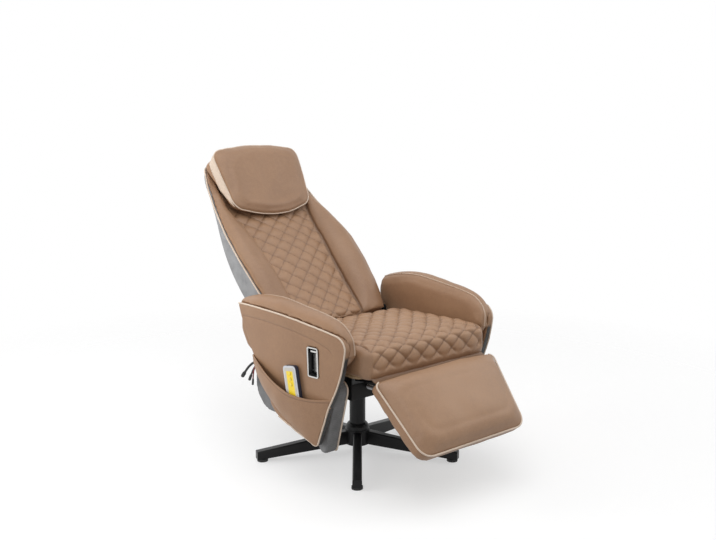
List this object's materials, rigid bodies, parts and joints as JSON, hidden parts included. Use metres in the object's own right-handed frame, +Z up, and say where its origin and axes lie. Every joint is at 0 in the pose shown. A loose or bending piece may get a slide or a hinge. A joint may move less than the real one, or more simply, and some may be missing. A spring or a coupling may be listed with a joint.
{
  "type": "massage recliner",
  "caption": "Swivel massage recliner on a star base: reclining quilted back with head pillow, folding leg rest, bowed leather arms, release lever, side pocket and handset.",
  "frame": {"origin": "on the floor under the middle of the chair's box, in the pictured half-reclined pose", "axes": "+Z up, the sitter faces -Y, +X is the sitter's left; the swivel axis is vertical through x 0, y -0.066"},
  "size_m": [0.7349, 1.2261, 1.0138],
  "materials": {
    "leather_brown": "semi-matt grain",
    "fabric_grey": "matt vinyl-backed cloth",
    "metal_black": "satin powder coat",
    "steel": "zinc plated",
    "brass_washer": "plain",
    "plywood": "raw",
    "plastic_black": "matt",
    "rubber_black": "matt",
    "red_rubber": "matt",
    "chrome": "polished",
    "handset_dark": "satin",
    "handset_white": "gloss",
    "handset_yellow": "gloss",
    "key_grey": "satin"
  },
  "bodies": {
    "base": {"base_hub": "metal_black", "base_leg_1": "metal_black", "base_leg_2": "metal_black", "base_leg_3": "metal_black", "base_leg_4": "metal_black", "base_leg_5": "metal_black", "floor_glides": "rubber_black", "column_tube": "metal_black", "swivel_spindle": "steel", "swivel_washer": "brass_washer"},
    "seat": {"arm_bolts": "steel", "arm_core_left": "plywood", "arm_core_right": "plywood", "arm_pad_left": "leather_brown", "arm_pad_right": "leather_brown", "arm_panel_left": "leather_brown", "arm_panel_right": "leather_brown", "control_box": "plastic_black", "front_cross_tube": "metal_black", "lead_connectors": "plastic_black", "lead_gland": "rubber_black", "lead_motor": "rubber_black", "lead_power": "rubber_black", "lead_red": "red_rubber", "leg_rest_brackets": "metal_black", "leg_rest_pins": "steel", "leg_rest_springs": "steel", "lever_cup": "plastic_black", "lever_frame": "chrome", "lever_pin": "steel", "mechanism_tray": "metal_black", "rear_cross_tube": "metal_black", "recline_pins": "steel", "seat_cushion": "leather_brown", "seat_deck": "plywood", "seat_motors": "plastic_black", "side_board_left": "fabric_grey", "side_board_right": "fabric_grey", "side_plate_left": "metal_black", "side_plate_right": "metal_black", "side_pocket": "leather_brown", "spring_rods": "steel", "swivel_sleeve": "steel"},
    "backrest": {"back_hinge_arm_left": "metal_black", "back_hinge_arm_right": "metal_black", "back_board": "plywood", "back_shell": "fabric_grey", "back_cushion": "leather_brown", "back_motors": "plastic_black", "head_pillow": "leather_brown"},
    "leg_rest": {"leg_rest_board": "plywood", "leg_rest_pad": "leather_brown", "leg_rest_leaves": "metal_black"},
    "lever": {"release_lever": "chrome"},
    "handset": {"handset_front": "handset_white", "handset_rear": "handset_dark", "handset_panel": "handset_yellow"},
    "key_1": {"handset_key_1": "key_grey"},
    "key_2": {"handset_key_2": "key_grey"},
    "key_3": {"handset_key_3": "key_grey"}
  },
  "joints": [
    {"name": "swivel", "type": "hinge", "parent": "base", "child": "seat", "pos_m": [0, -0.066, 0.2], "axis": [0, 0, 1], "continuous": true},
    {"name": "recline", "type": "hinge", "parent": "seat", "child": "backrest", "pos_m": [0, 0.094, 0.425], "axis": [1, 0, 0], "range_deg": [-10, 25]},
    {"name": "leg_rest_fold", "type": "hinge", "parent": "seat", "child": "leg_rest", "pos_m": [0, -0.399, 0.356], "axis": [1, 0, 0], "range_deg": [-30, 43]},
    {"name": "lever_pull", "type": "hinge", "parent": "seat", "child": "lever", "pos_m": [-0.3213, -0.25626, 0.38064], "axis": [0.1439, -0.9896, 0], "range_deg": [0, 32], "stiffness_Nm_per_rad": 0.5, "springref_deg": -11.46},
    {"name": "handset_lift", "type": "slide", "parent": "seat", "child": "handset", "axis": [-0.0482, 0.1528, 0.9871], "range_m": [0, 0.12]},
    {"name": "key_1_press", "type": "slide", "parent": "handset", "child": "key_1", "axis": [0.9955, 0.0887, 0.0348], "range_m": [0, 0.0012], "stiffness_N_per_m": 600, "springref_m": -0.0004},
    {"name": "key_2_press", "type": "slide", "parent": "handset", "child": "key_2", "axis": [0.9955, 0.0887, 0.0348], "range_m": [0, 0.0012], "stiffness_N_per_m": 600, "springref_m": -0.0004},
    {"name": "key_3_press", "type": "slide", "parent": "handset", "child": "key_3", "axis": [0.9955, 0.0887, 0.0348], "range_m": [0, 0.0012], "stiffness_N_per_m": 600, "springref_m": -0.0004}
  ]
}
